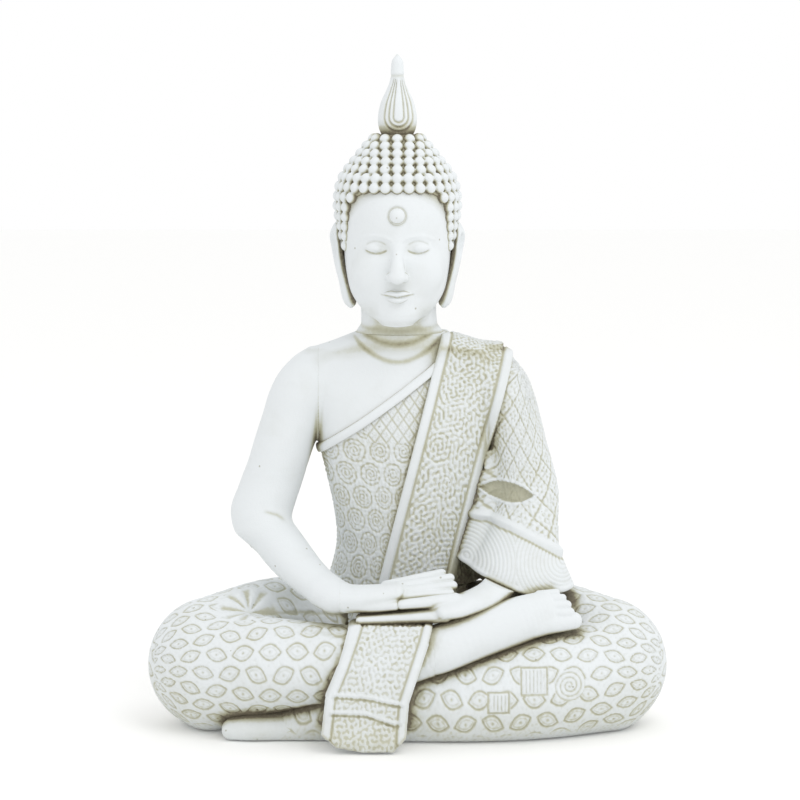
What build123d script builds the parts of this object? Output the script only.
from build123d import *
import math
import os

# Seated Buddha statue, cast in members that are pinned with dowels and bonded.
# Frame: +Z up, the figure faces -Y, the origin is under the middle of the bounding box.
# The figure's right side is at -X.
# Level ovals are (x, y, z, half_x, half_y). Tilted ovals are
# (centre, direction, half_level, half_upright), square to the limb's path.

# Overall sizes, mm
BASE_GAP = 1.0
HEAD_X = -7.5
TRUNK_X = -3.0
WAIST_SEAM_Z = 102.0
NECK_SEAM_Z = 294.0
FINIAL_SEAM_Z = 440.0
FINIAL_HEIGHT = 60.0
RIGHT_SHOULDER_X = -66.0
LEFT_SHOULDER_X = 57.0
SHOULDER_RIDGE_Y = 19.0
HIP_SEAM_X = 45.0
KNEE_REACH = 46.0
FOOT_SEAM_X = 22.0

# Walls, bands and trim
TORSO_WALL = 14.0
ARMPIT_Z = 190.0
SASH_THICKNESS = 3.5
SASH_WIDTH = 56.0
SASH_LEAN = 0.252
SASH_LEFT_X = -19.6
SASH_LEFT_Z = 112.0
SASH_BOTTOM_Z = 106.0
SASH_TOP_Z = 291.0
BORDER_THICKNESS = 2.5
URNA_RADIUS = 5.9

# Dowels: radius and half length
NECK_DOWEL = (5.0, 26.0)
FINIAL_DOWEL = (2.5, 12.0)
SHOULDER_DOWEL = (4.0, 16.0)
WAIST_DOWEL = (4.0, 18.0)
HIP_DOWEL = (5.0, 14.0)
WRIST_DOWEL = (2.5, 9.0)
FOOT_DOWEL = (3.0, 10.0)

# Base plate, its screws and the rubber feet
PLATE_SIZE = (56.0, 92.0, 5.0)
CORE_SIZE = (38.0, 74.0, 68.0)
CORE_CENTRE_Y = 40.0
VENT_RADIUS = 8.0
SCREW_RADIUS = 1.5
SCREW_HEAD_RADIUS = 3.2
SCREW_HEAD_HEIGHT = 2.0
SCREW_LENGTH = 14.0
SCREW_INSET = 9.0
FOOT_RADIUS = 8.0
FOOT_THICKNESS = 3.0
FOOT_PLACES = [(-150.0, -12.0), (150.0, -12.0), (-36.5, 66.0), (36.5, 66.0)]

OVAL_POINTS = 12
OVAL_STEP = 10.0

TORSO = [
    (TRUNK_X, 38.0, 102.0, 58.0, 46.0),
    (TRUNK_X, 32.0, 128.0, 51.5, 38.0),
    (TRUNK_X, 28.0, 150.0, 51.5, 36.0),
    (TRUNK_X, 25.0, 175.0, 56.0, 37.0),
    (TRUNK_X, 22.0, 205.0, 63.0, 40.0),
    (TRUNK_X, 20.0, 230.0, 71.0, 40.0),
    (TRUNK_X, 19.0, 252.0, 80.0, 36.0),
    (TRUNK_X, 18.0, 270.0, 84.0, 29.0),
    (TRUNK_X, 17.0, 280.0, 72.0, 28.0),
    (-4.0, 16.0, 288.0, 50.0, 27.5),
    (-6.0, 15.0, NECK_SEAM_Z, 33.0, 27.0),
]

SEAT = [
    (0.0, 38.0, 1.0, 60.0, 62.0),
    (0.0, 40.0, 25.0, 66.0, 64.0),
    (0.0, 40.0, 55.0, 66.0, 63.0),
    (TRUNK_X, 39.0, 82.0, 62.0, 55.0),
    (TRUNK_X, 38.0, WAIST_SEAM_Z, 58.0, 46.0),
]

# Face canon: the head inside its hair is five eyes wide, and hairline, brow, nose base and chin
# stand two eyes apart. The hair is one curl deep on each side.
HAIR_RADIUS = 48.5
CURL_SIZE = 8.7
HAIRLINE_Z = 399.0
EYE_WIDTH = 2.0 * (HAIR_RADIUS - CURL_SIZE) / 5.0
FACE_THIRD = 2.0 * EYE_WIDTH
BROW_Z = HAIRLINE_Z - FACE_THIRD
NOSE_BASE_Z = BROW_Z - FACE_THIRD
CHIN_Z = NOSE_BASE_Z - FACE_THIRD
MOUTH_Z = NOSE_BASE_Z - FACE_THIRD / 3.0
EYE_Z = BROW_Z - 0.45 * EYE_WIDTH
FACE_HALF_WIDTH = 2.25 * EYE_WIDTH
URNA_Z = (BROW_Z + HAIRLINE_Z) / 2.0

HEAD = [
    (HEAD_X, -14.0, CHIN_Z, 13.0, 15.0),
    (HEAD_X, -7.0, CHIN_Z + 0.5 * EYE_WIDTH, 25.0, 27.0),
    (HEAD_X, 1.0, MOUTH_Z, 34.0, 38.0),
    (HEAD_X, 5.0, NOSE_BASE_Z + 0.4 * EYE_WIDTH, 39.5, 43.0),
    (HEAD_X, 8.0, EYE_Z, 43.0, 46.5),
    (HEAD_X, 10.0, URNA_Z, 44.0, 47.5),
    (HEAD_X, 11.0, HAIRLINE_Z - 1.0, 42.0, 45.0),
    (HEAD_X, 12.0, 410.0, 36.0, 38.0),
    (HEAD_X, 12.0, 418.0, 26.0, 27.0),
]

NECK = [
    (-6.0, 15.0, NECK_SEAM_Z, 32.5, 26.5),
    (-6.3, 14.0, 302.0, 28.5, 26.0),
    (-6.8, 13.0, 316.0, 28.0, 26.5),
    (-7.0, 12.0, 334.0, 27.0, 27.0),
]

# Hair dome and crown bump: (radius, z) up the profile of a turned shape
HAIR_CENTRE_Y = 11.5
HAIR_PROFILE = [
    (30.0, 326.0),
    (43.0, 345.0),
    (48.0, 370.0),
    (HAIR_RADIUS, 390.0),
    (46.0, 404.0),
    (41.0, 415.0),
    (35.0, 422.0),
    (28.5, 430.0),
    (23.0, 436.0),
    (17.0, FINIAL_SEAM_Z),
]
TEMPLE_Z = 362.0

# Flame: (radius, height above its seat)
FINIAL_PROFILE = [
    (11.0, 0.0),
    (13.8, 7.0),
    (14.4, 15.0),
    (12.4, 25.0),
    (8.4, 34.0),
    (5.6, 41.0),
    (4.8, 49.0),
    (3.6, 56.0),
    (0.0, FINIAL_HEIGHT),
]

NOSE = [
    (HEAD_X, -37.0, BROW_Z, 3.0, 3.0),
    (HEAD_X, -39.5, BROW_Z - 12.0, 4.2, 6.0),
    (HEAD_X, -41.0, NOSE_BASE_Z + 7.0, 7.0, 7.5),
    (HEAD_X, -38.0, NOSE_BASE_Z, 7.0, 6.0),
]

RIGHT_EAR = [
    (-52.0, 8.0, 374.0, 3.0, 5.0),
    (-53.0, 8.0, 366.0, 4.8, 10.0),
    (-51.0, 7.0, 350.0, 4.8, 9.0),
    (-47.5, 5.0, 335.0, 4.5, 7.0),
    (-44.0, 3.0, 325.0, 5.2, 6.5),
    (-42.0, 2.0, 316.5, 3.5, 4.5),
]
LEFT_EAR = [(2.0 * HEAD_X - x, y, z, half_x, half_y) for x, y, z, half_x, half_y in RIGHT_EAR]

RIGHT_UPPER_ARM = [
    (-111.0, 4.0, 134.0, 6.0, 6.0),
    (-111.0, 6.0, 143.0, 18.0, 17.0),
    (-110.0, 10.0, 154.0, 22.0, 21.5),
    (-107.5, 13.0, 166.0, 23.5, 22.5),
    (-102.5, 16.0, 181.0, 23.5, 23.0),
    (-97.0, 17.0, 197.0, 23.0, 24.0),
    (-92.0, 18.0, 212.0, 23.5, 25.0),
    (-84.0, 19.0, 232.0, 25.0, 26.0),
    (-78.0, 19.0, 248.0, 26.0, 27.0),
    (-72.0, 19.0, 262.0, 25.0, 25.0),
    (-68.0, 18.0, 274.0, 18.0, 19.0),
    (-65.0, 18.0, 282.0, 9.0, 10.0),
]
RIGHT_FOREARM = [
    ((-114.0, 14.0, 158.0), (0.5, -0.55, -0.67), 17.5, 17.0),
    ((-92.0, -10.0, 133.0), (0.63, -0.5, -0.6), 17.5, 17.0),
    ((-73.0, -30.0, 116.0), (0.65, -0.55, -0.52), 15.5, 14.0),
    ((-52.0, -52.0, 104.0), (0.8, -0.45, -0.3), 14.0, 11.5),
]

LEFT_SLEEVE = [
    (82.0, -13.0, 96.0, 42.0, 37.0),
    (82.0, -12.0, 108.0, 41.5, 36.0),
    (82.0, -11.0, 122.0, 36.0, 33.0),
    (84.0, -7.0, 136.0, 29.5, 29.0),
    (87.0, 0.0, 150.0, 26.0, 25.5),
    (89.0, 7.0, 162.0, 24.5, 23.5),
    (89.0, 12.0, 176.0, 24.5, 23.5),
    (86.5, 16.0, 194.0, 23.0, 24.0),
    (82.0, 18.0, 212.0, 22.5, 25.0),
    (75.0, 19.0, 232.0, 24.5, 26.0),
    (69.0, 19.0, 248.0, 26.0, 27.0),
    (64.0, 19.0, 262.0, 25.0, 25.0),
    (61.0, 18.0, 274.0, 18.0, 19.0),
    (58.0, 18.0, 282.0, 9.0, 10.0),
]
CUFF_CORE = [
    (82.0, -13.0, 90.0, 38.0, 33.0),
    (82.0, -12.0, 106.0, 37.5, 32.0),
    (82.0, -11.0, 120.0, 32.5, 29.5),
    (84.0, -8.0, 134.0, 25.5, 25.0),
    (86.0, -3.0, 147.0, 18.0, 18.0),
]
# The hem drops from the wrist to the knee side: (x, z) from the front
HEM_OUTLINE = [(20.0, 131.0), (90.0, 104.0), (140.0, 106.0), (140.0, 60.0), (20.0, 60.0)]

LEFT_HAND = [
    ((86.0, -3.0, 150.0), (-0.2, -0.7, -0.68), 13.0, 13.0),
    ((76.0, -30.0, 124.0), (-0.3, -0.72, -0.62), 13.0, 12.0),
    ((62.0, -51.0, 107.0), (-0.75, -0.5, -0.4), 12.5, 10.0),
    ((38.0, -62.0, 99.0), (-0.95, -0.25, -0.15), 16.0, 9.0),
    ((10.0, -67.0, 94.5), (-1.0, -0.1, 0.0), 15.0, 6.5),
    ((-20.0, -68.0, 92.5), (-1.0, 0.0, 0.0), 12.0, 4.5),
    ((-36.0, -67.0, 92.0), (-1.0, 0.1, 0.0), 6.0, 3.5),
]

RIGHT_HAND = [
    ((-52.0, -52.0, 104.0), (0.8, -0.45, -0.3), 14.0, 11.5),
    ((-34.0, -59.0, 106.5), (0.95, -0.2, 0.1), 16.0, 9.0),
    ((-10.0, -61.0, 110.5), (0.97, 0.0, 0.2), 16.0, 7.0),
    ((12.0, -59.0, 115.0), (0.96, 0.15, 0.25), 14.0, 5.5),
    ((33.0, -55.0, 119.5), (0.95, 0.2, 0.2), 9.0, 3.5),
]

RIGHT_THIGH = [
    ((-HIP_SEAM_X, 44.0, 46.0), (-1.0, 0.0, 0.0), 47.0, 52.0),
    ((-98.0, 22.0, 50.0), (-0.92, -0.4, 0.0), 45.0, 55.0),
    ((-148.0, -4.0, 46.0), (-1.0, -0.2, 0.02), 40.0, 49.0),
]

LEFT_THIGH = [
    ((HIP_SEAM_X, 44.0, 46.0), (1.0, 0.0, 0.0), 47.0, 52.0),
    ((98.0, 22.0, 50.0), (0.92, -0.4, 0.0), 45.0, 55.0),
    ((148.0, -4.0, 46.0), (1.0, -0.2, 0.02), 40.0, 49.0),
]

RIGHT_SHIN = [
    ((-148.0, -22.0, 42.0), (0.95, -0.3, 0.0), 36.0, 44.0),
    ((-98.0, -43.0, 52.0), (0.93, -0.3, 0.05), 35.0, 35.0),
    ((-50.0, -56.0, 57.0), (0.97, -0.18, 0.05), 30.0, 28.0),
    ((-12.0, -62.0, 62.0), (0.98, -0.1, 0.1), 25.0, 23.0),
    ((FOOT_SEAM_X, -66.0, 69.0), (1.0, 0.0, 0.0), 18.0, 18.0),
]

LEFT_SHIN = [
    ((148.0, -22.0, 40.0), (-0.95, -0.3, 0.0), 36.0, 43.0),
    ((98.0, -42.0, 36.0), (-0.95, -0.2, -0.08), 37.0, 40.0),
    ((50.0, -50.0, 29.0), (-1.0, -0.05, -0.08), 33.0, 34.0),
    ((0.0, -51.0, 23.0), (-1.0, 0.0, -0.1), 28.0, 28.0),
    ((-50.0, -50.0, 16.0), (-1.0, 0.0, -0.12), 22.0, 21.0),
    ((-92.0, -50.0, 8.0), (-1.0, 0.0, 0.0), 18.0, 12.0),
]

RIGHT_FOOT = [
    ((FOOT_SEAM_X, -66.0, 69.0), (1.0, 0.0, 0.0), 18.0, 18.0),
    ((50.0, -62.0, 79.0), (0.93, 0.15, 0.3), 15.0, 18.0),
    ((80.0, -55.0, 88.0), (0.95, 0.2, 0.2), 13.0, 17.5),
    ((104.0, -50.0, 92.0), (0.98, 0.15, 0.1), 10.0, 16.5),
]

LEFT_FOOT = [
    ((-92.0, -50.0, 8.0), (-1.0, 0.0, 0.0), 18.0, 12.0),
    ((-115.0, -53.0, 7.0), (-1.0, -0.1, 0.0), 17.0, 11.0),
    ((-132.0, -56.0, 6.0), (-1.0, -0.1, 0.0), 10.0, 8.0),
    ((-136.0, -57.0, 6.0), (-1.0, -0.1, 0.0), 3.0, 3.0),
]

# Toes of the upturned foot, each (centre, direction, half_level, half_upright)
BIG_TOE = [
    ((100.0, -50.0, 85.0), (1.0, 0.1, 0.0), 7.0, 6.5),
    ((116.0, -49.0, 86.0), (1.0, 0.1, 0.0), 7.5, 6.5),
    ((127.0, -48.0, 87.0), (1.0, 0.1, 0.0), 4.0, 3.5),
]
SMALL_TOE_TIPS = [(118.0, 95.0), (116.0, 100.5), (113.0, 105.5), (109.0, 109.0)]
SMALL_TOE_RADIUS = 3.6
TOES = [BIG_TOE]
for tip_x, tip_z in SMALL_TOE_TIPS:
    TOES.append([
        ((98.0, -47.0, tip_z - 2.0), (1.0, 0.05, 0.1), SMALL_TOE_RADIUS, SMALL_TOE_RADIUS),
        ((tip_x - 4.0, -46.0, tip_z - 0.5), (1.0, 0.05, 0.1), SMALL_TOE_RADIUS, SMALL_TOE_RADIUS),
        ((tip_x, -46.0, tip_z), (1.0, 0.05, 0.1), 2.0, 2.0),
    ])

# Bands, as corners (x, z) seen from the front
SASH_BACK_OUTLINE = [
    (6.0, SASH_BOTTOM_Z),
    (62.0, SASH_BOTTOM_Z),
    (80.0, SASH_TOP_Z),
    (25.0, SASH_TOP_Z),
]
BORDER_OUTLINE = [
    (-90.0, 197.0),
    (-65.0, 211.5),
    (-35.0, 232.0),
    (-5.0, 254.0),
    (14.0, 268.5),
    (40.0, 292.0),
    (40.0, 300.0),
    (30.0, 292.0),
    (10.0, 274.5),
    (-9.0, 260.0),
    (-39.0, 238.0),
    (-69.0, 217.5),
    (-94.0, 203.0),
]

# The hanging end: (y, z) from the side and (x, z) from the front
TAIL_SIDE_VIEW = [
    (-64.0, 60.0),
    (-64.0, 87.0),
    (-78.0, 86.0),
    (-90.0, 79.0),
    (-96.0, 62.0),
    (-97.5, 40.0),
    (-99.0, 22.0),
    (-105.0, 9.0),
    (-105.0, 0.0),
    (-60.0, 0.0),
]
TAIL_FRONT_VIEW = [
    (-39.0, 92.0),
    (20.0, 92.0),
    (9.0, 60.0),
    (1.0, 36.0),
    (-1.0, 8.0),
    (-14.0, 0.5),
    (-32.0, 0.5),
    (-62.0, 12.0),
    (-59.0, 40.0),
    (-50.0, 62.0),
]
TAIL_FROM_X = -70.0
TAIL_RUN = 100.0
URNA_CENTRE = (HEAD_X, -35.5, URNA_Z)

# Planes clear of the body, used when bands are cut out of a grown trunk
BEFORE_CHEST_Y = -60.0
BEHIND_BACK_Y = 120.0
FAR = 300.0

# Places of the dowels
NECK_PIN_PLACE = (-6.5, 14.0, NECK_SEAM_Z)
SHOULDER_PIN_Z = 250.0
WAIST_PIN_Y = 38.0
WAIST_PIN_REACH = 34.0
HIP_PIN_Y = 60.0
HIP_PIN_Z = 46.0

# Hollow of the trunk, open downward through a narrower neck
HOLLOW_BOTTOM_Z = 120.0
HOLLOW_TOP_Z = 240.0
HOLLOW_NECK_PLACE = (TRUNK_X, 34.0, 115.0)
HOLLOW_NECK = (14.0, 20.0)

# Lips: height of each one's middle from the mouth line, and its half height
UPPER_LIP = (1.8, 2.2)
LOWER_LIP = (-2.2, 2.6)

# Openings of the hair cap
FACE_BACK_Y = 2.0
JAW_BACK_Y = 16.0

os.makedirs("parts", exist_ok=True)


def oval(half_x, half_y):
    """Closed smooth outline of an oval, starting on its +X side."""
    turns = [2.0 * math.pi * index / OVAL_POINTS for index in range(OVAL_POINTS)]
    return [(half_x * math.cos(turn), half_y * math.sin(turn)) for turn in turns]


def level_loft(ovals):
    """Solid through level ovals."""
    with BuildPart() as body:
        for x, y, z, half_x, half_y in ovals:
            with BuildSketch(Plane((x, y, z))):
                with BuildLine():
                    Spline(*oval(half_x, half_y), periodic=True)
                make_face()
        loft()
    return body.part


def blend_values(before, start, end, after, share):
    """Catmull-Rom value between start and end."""
    rise = 0.5 * (end - before)
    leave = 0.5 * (after - start)
    a = 2.0 * start - 2.0 * end + rise + leave
    b = -3.0 * start + 3.0 * end - 2.0 * rise - leave
    return ((a * share + b) * share + rise) * share + start


def evenly_spaced(ovals):
    """The same limb with ovals at nearly even steps, so that a loft stays smooth."""
    rows = [list(centre) + list(direction) + sizes for centre, direction, *sizes in ovals]
    spaced = []
    for index in range(len(rows) - 1):
        before = rows[max(index - 1, 0)]
        start = rows[index]
        end = rows[index + 1]
        after = rows[min(index + 2, len(rows) - 1)]
        count = max(1, round(math.dist(start[:3], end[:3]) / OVAL_STEP))
        for part in range(count):
            share = part / count
            row = [blend_values(*values, share) for values in zip(before, start, end, after)]
            spaced.append((row[:3], row[3:6], row[6], row[7]))
    last = rows[-1]
    spaced.append((last[:3], last[3:6], last[6], last[7]))
    return spaced


def round_end(last, reach):
    """Ovals that close a limb with a rounded end, reaching past its last oval."""
    centre, direction, half_level, half_upright = last
    along = Vector(*direction).normalized()
    ovals = []
    count = max(2, round(reach / OVAL_STEP))
    for index in range(1, count + 1):
        distance = min(index / count, 0.97)
        place = Vector(*centre) + along * (reach * distance)
        shrink = math.sqrt(1.0 - distance * distance)
        ovals.append(([place.X, place.Y, place.Z], direction, half_level * shrink, half_upright * shrink))
    return ovals


def limb_loft(ovals, end_reach=0.0):
    """Solid through tilted ovals that stand square to a limb's path.

    The level axis of each oval is horizontal; where the path is steep it follows
    the oval before it, so that the skin never twists.
    """
    stations = evenly_spaced(ovals)
    if end_reach > 0.0:
        stations += round_end(ovals[-1], end_reach)
    level = None
    with BuildPart() as body:
        for centre, direction, half_level, half_upright in stations:
            along = Vector(*direction).normalized()
            across = Vector(0, 0, 1).cross(along)
            if across.length < 0.5 and level is not None:
                across = level - along * level.dot(along)
            if level is not None and across.dot(level) < 0.0:
                across = across * -1.0
            level = across.normalized()
            with BuildSketch(Plane(origin=centre, x_dir=level, z_dir=along)):
                with BuildLine():
                    Spline(*oval(half_level, half_upright), periodic=True)
                make_face()
        loft()
    return body.part


def grown(ovals, growth):
    """The same level ovals, larger all round and higher at the shoulders."""
    raised = []
    for x, y, z, half_x, half_y in ovals:
        lift = growth if z > 260.0 else 0.0
        raised.append((x, y, z + lift, half_x + growth, half_y + growth))
    return raised


def pin(centre, direction, size):
    """Round dowel centred on a seam; size is (radius, half length)."""
    radius, half_length = size
    along = Vector(*direction).normalized()
    start = Vector(*centre) - along * half_length
    with BuildPart() as dowel:
        with BuildSketch(Plane(origin=start, z_dir=along)):
            Circle(radius)
        extrude(amount=2.0 * half_length)
    return dowel.part


def slab(corners, front_y, back_y):
    """Upright slab whose face in the XZ plane has these corners."""
    with BuildPart() as prism:
        with BuildSketch(Plane.XZ.offset(-back_y)):
            with BuildLine():
                Polyline(*corners, close=True)
            make_face()
        extrude(amount=back_y - front_y)
    return prism.part


def block(low, high):
    """Box between two corners."""
    size = [high[axis] - low[axis] for axis in range(3)]
    middle = [(high[axis] + low[axis]) / 2.0 for axis in range(3)]
    with BuildPart(Plane(middle)) as box:
        Box(*size)
    return box.part


def turned(profile, centre_x, centre_y, base_z):
    """Solid turned about an upright axis from (radius, z) points."""
    bottom = profile[0]
    top = profile[-1]
    with BuildPart() as body:
        with BuildSketch(Plane(origin=(centre_x, centre_y, base_z), x_dir=(1, 0, 0), z_dir=(0, -1, 0))):
            with BuildLine():
                Spline(*profile)
                if top[0] > 0.0:
                    Line(top, (0.0, top[1]))
                Line((0.0, top[1]), (0.0, bottom[1]))
                Line((0.0, bottom[1]), bottom)
            make_face()
        revolve(axis=Axis((centre_x, centre_y, 0), (0, 0, 1)))
    return body.part


# Whole shapes that several pieces share before they are parted

trunk = level_loft(TORSO)
left_thigh = limb_loft(LEFT_THIGH, KNEE_REACH)
left_shin = limb_loft(LEFT_SHIN)
right_thigh = limb_loft(RIGHT_THIGH, KNEE_REACH)
right_shin = limb_loft(RIGHT_SHIN)
left_hand_shape = limb_loft(LEFT_HAND)
between_hips = block((-HIP_SEAM_X, -FAR, BASE_GAP), (HIP_SEAM_X, FAR, WAIST_SEAM_Z))
trunk_with_sash = level_loft(grown(TORSO, SASH_THICKNESS))
trunk_with_border = level_loft(grown(TORSO, BORDER_THICKNESS))
below_floor_line = block((-FAR, -FAR, -FAR), (FAR, FAR, BASE_GAP))
right_of_seam = block((-FAR, -FAR, ARMPIT_Z), (RIGHT_SHOULDER_X, FAR, FAR))
left_of_seam = block((LEFT_SHOULDER_X, -FAR, ARMPIT_Z), (FAR, FAR, FAR))

trunk_side_right = block((RIGHT_SHOULDER_X, -FAR, ARMPIT_Z), (0.0, FAR, FAR))
trunk_side_left = block((0.0, -FAR, ARMPIT_Z), (LEFT_SHOULDER_X, FAR, FAR))

neck_pin = pin(NECK_PIN_PLACE, (0, 0, 1), NECK_DOWEL)
finial_pin = pin((HEAD_X, HAIR_CENTRE_Y, FINIAL_SEAM_Z), (0, 0, 1), FINIAL_DOWEL)
right_shoulder_pin = pin((RIGHT_SHOULDER_X, SHOULDER_RIDGE_Y, SHOULDER_PIN_Z), (1, 0, 0), SHOULDER_DOWEL)
left_shoulder_pin = pin((LEFT_SHOULDER_X, SHOULDER_RIDGE_Y, SHOULDER_PIN_Z), (1, 0, 0), SHOULDER_DOWEL)
waist_pins = [
    pin((TRUNK_X + reach, WAIST_PIN_Y, WAIST_SEAM_Z), (0, 0, 1), WAIST_DOWEL)
    for reach in (-WAIST_PIN_REACH, WAIST_PIN_REACH)
]
right_hip_pin = pin((-HIP_SEAM_X, HIP_PIN_Y, HIP_PIN_Z), (1, 0, 0), HIP_DOWEL)
left_hip_pin = pin((HIP_SEAM_X, HIP_PIN_Y, HIP_PIN_Z), (1, 0, 0), HIP_DOWEL)
wrist_pin = pin(RIGHT_HAND[0][0], RIGHT_HAND[0][1], WRIST_DOWEL)
foot_pin = pin(RIGHT_FOOT[0][0], RIGHT_FOOT[0][1], FOOT_DOWEL)

torso_core = level_loft([
    (x, y, z, half_x - TORSO_WALL, half_y - TORSO_WALL)
    for x, y, z, half_x, half_y in TORSO if HOLLOW_BOTTOM_Z < z < HOLLOW_TOP_Z
])
core_neck = pin(HOLLOW_NECK_PLACE, (0, 0, 1), HOLLOW_NECK)
seat_core = block(
    (-CORE_SIZE[0] / 2.0, CORE_CENTRE_Y - CORE_SIZE[1] / 2.0, -5.0),
    (CORE_SIZE[0] / 2.0, CORE_CENTRE_Y + CORE_SIZE[1] / 2.0, CORE_SIZE[2]),
)
plate_rebate = block(
    (-PLATE_SIZE[0] / 2.0, CORE_CENTRE_Y - PLATE_SIZE[1] / 2.0, BASE_GAP),
    (PLATE_SIZE[0] / 2.0, CORE_CENTRE_Y + PLATE_SIZE[1] / 2.0, BASE_GAP + PLATE_SIZE[2]),
)
face_opening = block(
    (HEAD_X - FACE_HALF_WIDTH, -FAR, 0.0),
    (HEAD_X + FACE_HALF_WIDTH, FACE_BACK_Y, HAIRLINE_Z),
)
jaw_opening = block((-FAR, -FAR, 0.0), (FAR, JAW_BACK_Y, TEMPLE_Z))

with BuildPart() as foot_pocket_set:
    for x, y in FOOT_PLACES:
        add(pin((x, y, 0.0), (0, 0, 1), (FOOT_RADIUS, FOOT_THICKNESS)))
foot_pockets = foot_pocket_set.part

with BuildPart() as screw_bodies:
    for x in (-1.0, 1.0):
        for y in (-1.0, 1.0):
            screw_x = x * (PLATE_SIZE[0] - SCREW_INSET) / 2.0
            screw_y = CORE_CENTRE_Y + y * (PLATE_SIZE[1] - SCREW_INSET) / 2.0
            with BuildSketch(Plane((screw_x, screw_y, BASE_GAP))):
                Circle(SCREW_HEAD_RADIUS)
            extrude(amount=SCREW_HEAD_HEIGHT)
            with BuildSketch(Plane((screw_x, screw_y, BASE_GAP))):
                Circle(SCREW_RADIUS)
            extrude(amount=SCREW_LENGTH)
screw_set = screw_bodies.part


def sash_outline(bottom_z, top_z):
    """Corners of the leaning sash, seen from the front."""
    left_bottom = SASH_LEFT_X + SASH_LEAN * (bottom_z - SASH_LEFT_Z)
    left_top = SASH_LEFT_X + SASH_LEAN * (top_z - SASH_LEFT_Z)
    return [
        (left_bottom, bottom_z),
        (left_bottom + SASH_WIDTH, bottom_z),
        (left_top + SASH_WIDTH, top_z),
        (left_top, top_z),
    ]


def eyelid(x):
    """Ovals of one closed lid, a calm almond under the brow."""
    return [
        (x, -29.0, EYE_Z + 5.5, 5.0, 3.0),
        (x, -31.5, EYE_Z + 1.0, EYE_WIDTH / 2.0, 4.5),
        (x, -31.0, EYE_Z - 3.0, EYE_WIDTH / 2.2, 4.0),
        (x, -28.5, EYE_Z - 6.0, 4.0, 2.5),
    ]


def lip(z, height):
    """Ovals of one lip, three fifths as wide as the face is between the eyes' corners."""
    half_width = 0.75 * EYE_WIDTH
    return [
        (HEAD_X, -32.0, z - height, half_width * 0.5, 3.0),
        (HEAD_X, -33.0, z, half_width, 4.5),
        (HEAD_X, -32.0, z + height, half_width * 0.5, 3.0),
    ]


def with_outline(shape, corners, front_y, back_y):
    """The part of a shape that lies inside an outline seen from the front."""
    with BuildPart() as kept:
        add(shape)
        add(slab(corners, front_y, back_y), mode=Mode.INTERSECT)
    return kept.part


# Lower body

with BuildPart() as left_leg:
    add([left_thigh, left_shin])
    add([below_floor_line, left_hip_pin, foot_pockets], mode=Mode.SUBTRACT)
left_leg.part.label = "left_leg"
export_step(left_leg.part, "parts/left_leg.step")

with BuildPart() as right_leg:
    add([right_thigh, right_shin])
    add([below_floor_line, right_hip_pin, foot_pin, foot_pockets], mode=Mode.SUBTRACT)
    add(left_shin, mode=Mode.SUBTRACT)
right_leg.part.label = "right_leg"
export_step(right_leg.part, "parts/right_leg.step")

with BuildPart() as seat:
    add(level_loft(SEAT))
    add(between_hips, mode=Mode.INTERSECT)
    add([seat_core, plate_rebate, foot_pockets], mode=Mode.SUBTRACT)
    add(waist_pins + [right_hip_pin, left_hip_pin, screw_set], mode=Mode.SUBTRACT)
    add(left_shin, mode=Mode.SUBTRACT)
    add(right_shin, mode=Mode.SUBTRACT)
seat.part.label = "seat"
export_step(seat.part, "parts/seat.step")

with BuildPart() as left_foot:
    add(limb_loft(LEFT_FOOT))
    add(below_floor_line, mode=Mode.SUBTRACT)
    add(left_leg.part, mode=Mode.SUBTRACT)
    add(right_leg.part, mode=Mode.SUBTRACT)
left_foot.part.label = "left_foot"
export_step(left_foot.part, "parts/left_foot.step")

with BuildPart() as right_foot:
    add(limb_loft(RIGHT_FOOT))
    for toe in TOES:
        add(limb_loft(toe))
    add(left_leg.part, mode=Mode.SUBTRACT)
    add(right_leg.part, mode=Mode.SUBTRACT)
    add(foot_pin, mode=Mode.SUBTRACT)
right_foot.part.label = "right_foot"
export_step(right_foot.part, "parts/right_foot.step")

# Trunk

with BuildPart() as torso:
    add(trunk)
    add([torso_core, core_neck], mode=Mode.SUBTRACT)
    add([right_of_seam, left_of_seam], mode=Mode.SUBTRACT)
    add([neck_pin, right_shoulder_pin, left_shoulder_pin], mode=Mode.SUBTRACT)
    add(waist_pins, mode=Mode.SUBTRACT)
torso.part.label = "torso"
export_step(torso.part, "parts/torso.step")

with BuildPart() as sash_front:
    front_outline = sash_outline(SASH_BOTTOM_Z, SASH_TOP_Z)
    add(with_outline(trunk_with_sash, front_outline, BEFORE_CHEST_Y, SHOULDER_RIDGE_Y))
    add(trunk, mode=Mode.SUBTRACT)
    add(left_of_seam, mode=Mode.SUBTRACT)
sash_front.part.label = "sash_front"
export_step(sash_front.part, "parts/sash_front.step")

with BuildPart() as sash_back:
    add(with_outline(trunk_with_sash, SASH_BACK_OUTLINE, SHOULDER_RIDGE_Y, BEHIND_BACK_Y))
    add(trunk, mode=Mode.SUBTRACT)
    add(left_of_seam, mode=Mode.SUBTRACT)
sash_back.part.label = "sash_back"
export_step(sash_back.part, "parts/sash_back.step")

with BuildPart() as robe_border:
    add(with_outline(trunk_with_border, BORDER_OUTLINE, BEFORE_CHEST_Y, BEHIND_BACK_Y))
    add(trunk, mode=Mode.SUBTRACT)
    add([sash_front.part, sash_back.part], mode=Mode.SUBTRACT)
    add(right_of_seam, mode=Mode.SUBTRACT)
robe_border.part.label = "robe_border"
export_step(robe_border.part, "parts/robe_border.step")

# Arms and hands

with BuildPart() as right_arm:
    add([level_loft(RIGHT_UPPER_ARM), limb_loft(RIGHT_FOREARM)])
    add([trunk_side_right, right_shoulder_pin, wrist_pin], mode=Mode.SUBTRACT)
right_arm.part.label = "right_arm"
export_step(right_arm.part, "parts/right_arm.step")

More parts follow.
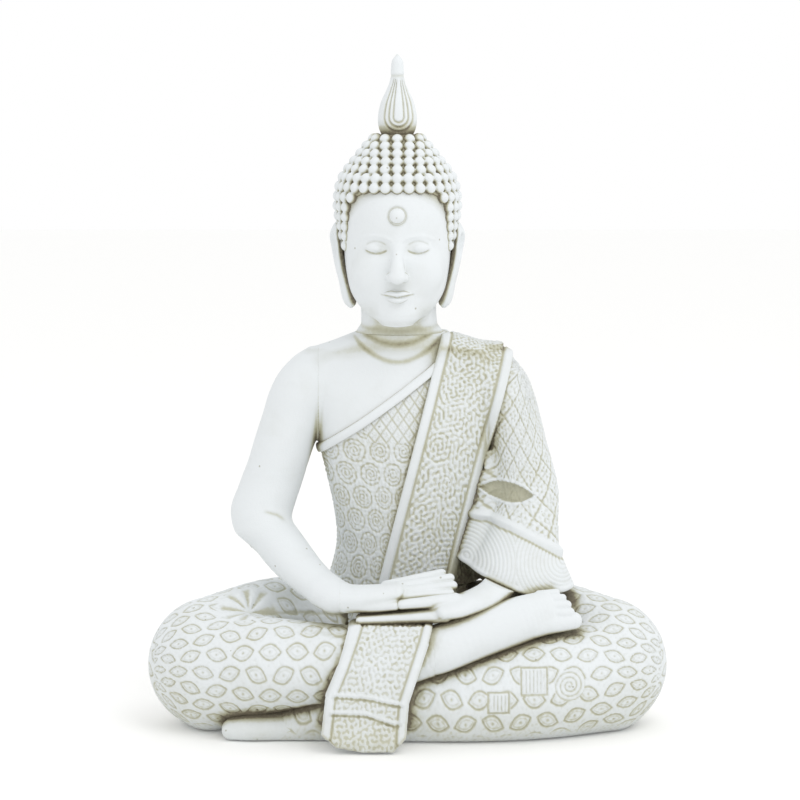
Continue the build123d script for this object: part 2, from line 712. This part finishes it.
with BuildPart() as right_hand:
    add(limb_loft(RIGHT_HAND))
    add(wrist_pin, mode=Mode.SUBTRACT)
right_hand.part.label = "right_hand"
export_step(right_hand.part, "parts/right_hand.step")

with BuildPart() as left_hand:
    add(left_hand_shape)
    add(right_foot.part, mode=Mode.SUBTRACT)
left_hand.part.label = "left_hand"
export_step(left_hand.part, "parts/left_hand.step")

with BuildPart() as left_sleeve:
    add(level_loft(LEFT_SLEEVE))
    add(level_loft(CUFF_CORE), mode=Mode.SUBTRACT)
    add([trunk_side_left, slab(HEM_OUTLINE, -FAR, FAR)], mode=Mode.SUBTRACT)
    add([left_shoulder_pin, left_hand_shape], mode=Mode.SUBTRACT)
left_sleeve.part.label = "left_sleeve"
export_step(left_sleeve.part, "parts/left_sleeve.step")

with BuildPart() as sash_tail:
    with BuildSketch(Plane.YZ.offset(TAIL_FROM_X)):
        with BuildLine():
            Polyline(*TAIL_SIDE_VIEW, close=True)
        make_face()
    extrude(amount=TAIL_RUN)
    add(slab(TAIL_FRONT_VIEW, -FAR, 0.0), mode=Mode.INTERSECT)
    add(below_floor_line, mode=Mode.SUBTRACT)
    add([left_shin, right_shin], mode=Mode.SUBTRACT)
sash_tail.part.label = "sash_tail"
export_step(sash_tail.part, "parts/sash_tail.step")

# Head

with BuildPart() as head:
    add(level_loft(HEAD))
    add(level_loft(NECK))
    add(level_loft(NOSE))
    for eye_side in (-1.0, 1.0):
        add(level_loft(eyelid(HEAD_X + eye_side * EYE_WIDTH)))
    for lip_rise, lip_height in (UPPER_LIP, LOWER_LIP):
        add(level_loft(lip(MOUTH_Z + lip_rise, lip_height)))
    add(neck_pin, mode=Mode.SUBTRACT)
head.part.label = "head"
export_step(head.part, "parts/head.step")

with BuildPart() as hair_cap:
    add(turned(HAIR_PROFILE, HEAD_X, HAIR_CENTRE_Y, 0.0))
    add(head.part, mode=Mode.SUBTRACT)
    add([face_opening, jaw_opening, finial_pin], mode=Mode.SUBTRACT)
hair_cap.part.label = "hair_cap"
export_step(hair_cap.part, "parts/hair_cap.step")

with BuildPart() as right_ear:
    add(level_loft(RIGHT_EAR))
    add([head.part, hair_cap.part], mode=Mode.SUBTRACT)
right_ear.part.label = "right_ear"
export_step(right_ear.part, "parts/right_ear.step")

with BuildPart() as left_ear:
    add(level_loft(LEFT_EAR))
    add([head.part, hair_cap.part], mode=Mode.SUBTRACT)
left_ear.part.label = "left_ear"
export_step(left_ear.part, "parts/left_ear.step")

with BuildPart() as flame_finial:
    add(turned(FINIAL_PROFILE, HEAD_X, HAIR_CENTRE_Y, FINIAL_SEAM_Z))
    add(finial_pin, mode=Mode.SUBTRACT)
flame_finial.part.label = "flame_finial"
export_step(flame_finial.part, "parts/flame_finial.step")

with BuildPart() as urna:
    with Locations(URNA_CENTRE):
        Sphere(URNA_RADIUS)
    add(head.part, mode=Mode.SUBTRACT)
urna.part.label = "urna"
export_step(urna.part, "parts/urna.step")

# Hidden fittings

with BuildPart() as base_plate:
    add(plate_rebate)
    vent = pin((0.0, CORE_CENTRE_Y, BASE_GAP), (0, 0, 1), (VENT_RADIUS, 2.0 * PLATE_SIZE[2]))
    add(vent, mode=Mode.SUBTRACT)
    add(screw_set, mode=Mode.SUBTRACT)
base_plate.part.label = "base_plate"
export_step(base_plate.part, "parts/base_plate.step")

screw_set.label = "base_screws"
export_step(screw_set, "parts/base_screws.step")

with BuildPart() as rubber_feet:
    for x, y in FOOT_PLACES:
        add(pin((x, y, FOOT_THICKNESS / 2.0), (0, 0, 1), (FOOT_RADIUS, FOOT_THICKNESS / 2.0)))
rubber_feet.part.label = "rubber_feet"
export_step(rubber_feet.part, "parts/rubber_feet.step")

neck_pin.label = "neck_dowel"
export_step(neck_pin, "parts/neck_dowel.step")
finial_pin.label = "finial_dowel"
export_step(finial_pin, "parts/finial_dowel.step")
foot_pin.label = "foot_dowel"
export_step(foot_pin, "parts/foot_dowel.step")
wrist_pin.label = "wrist_dowel"
export_step(wrist_pin, "parts/wrist_dowel.step")

with BuildPart() as shoulder_dowels:
    add([right_shoulder_pin, left_shoulder_pin])
shoulder_dowels.part.label = "shoulder_dowels"
export_step(shoulder_dowels.part, "parts/shoulder_dowels.step")

with BuildPart() as waist_dowels:
    add(waist_pins)
waist_dowels.part.label = "waist_dowels"
export_step(waist_dowels.part, "parts/waist_dowels.step")

with BuildPart() as hip_dowels:
    add([right_hip_pin, left_hip_pin])
hip_dowels.part.label = "hip_dowels"
export_step(hip_dowels.part, "parts/hip_dowels.step")
